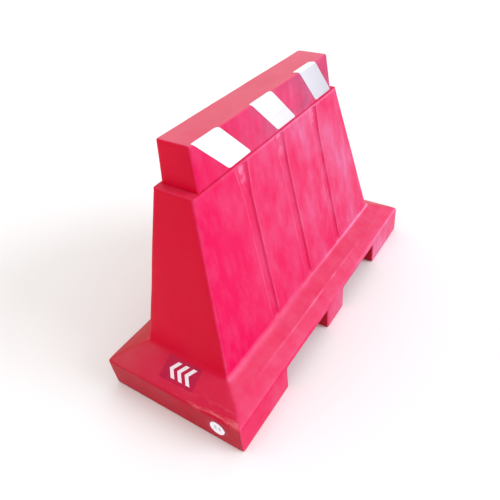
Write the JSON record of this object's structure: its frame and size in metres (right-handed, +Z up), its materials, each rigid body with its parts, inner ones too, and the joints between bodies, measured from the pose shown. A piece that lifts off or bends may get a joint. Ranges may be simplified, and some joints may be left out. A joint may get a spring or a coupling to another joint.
{
  "type": "water filled barrier",
  "caption": "Hollow red plastic road barrier on a wide base with fork slots, filled with water through a screwed plug and emptied by another, with white reflective sheets on its top rail.",
  "frame": {"origin": "on the ground under the middle of the base", "axes": "+X along the barrier, away from the end with the drain plug and towards the end with the filling plug; -Y the front, which the drain is nearer to; +Z up"},
  "size_m": [0.9998, 0.4448, 0.7209],
  "materials": {
    "red_polyethylene": "semi-gloss rotationally moulded polyethylene, scuffed",
    "white_polypropylene": "satin moulded polypropylene",
    "black_polypropylene": "satin moulded polypropylene",
    "black_rubber": "matte rubber",
    "reflective_sheeting": "white retroreflective film, glossy",
    "printed_vinyl": "printed vinyl film, satin"
  },
  "bodies": {
    "barrier": {"barrier_shell": "red_polyethylene", "drain_insert": "black_polypropylene", "fill_insert": "black_polypropylene", "front_reflector_1": "reflective_sheeting", "front_reflector_2": "reflective_sheeting", "front_reflector_3": "reflective_sheeting", "rear_reflector_1": "reflective_sheeting", "rear_reflector_2": "reflective_sheeting", "rear_reflector_3": "reflective_sheeting", "end_label": "printed_vinyl"},
    "drain_gasket": {"drain_gasket": "black_rubber"},
    "drain_plug": {"drain_plug": "white_polypropylene"},
    "fill_gasket": {"fill_gasket": "black_rubber"},
    "fill_plug": {"fill_plug": "white_polypropylene"}
  },
  "joints": [
    {"name": "drain_plug_travel", "type": "slide", "parent": "barrier", "child": "drain_gasket", "axis": [-1, 0, 0], "range_m": [0, 0.018]},
    {"name": "drain_plug_turn", "type": "hinge", "parent": "drain_gasket", "child": "drain_plug", "pos_m": [-0.494, -0.147, 0.053], "axis": [-1, 0, 0], "range_deg": [0, 1080]},
    {"name": "fill_plug_travel", "type": "slide", "parent": "barrier", "child": "fill_gasket", "axis": [1, 0, 0], "range_m": [0, 0.018]},
    {"name": "fill_plug_turn", "type": "hinge", "parent": "fill_gasket", "child": "fill_plug", "pos_m": [0.307, 0, 0.664], "axis": [1, 0, 0], "range_deg": [0, 1080]}
  ],
  "couplings": [
    {"joint": "drain_plug_turn", "follows": "drain_plug_travel", "rad_per_m": 1047.2},
    {"joint": "fill_plug_turn", "follows": "fill_plug_travel", "rad_per_m": 1047.2}
  ]
}
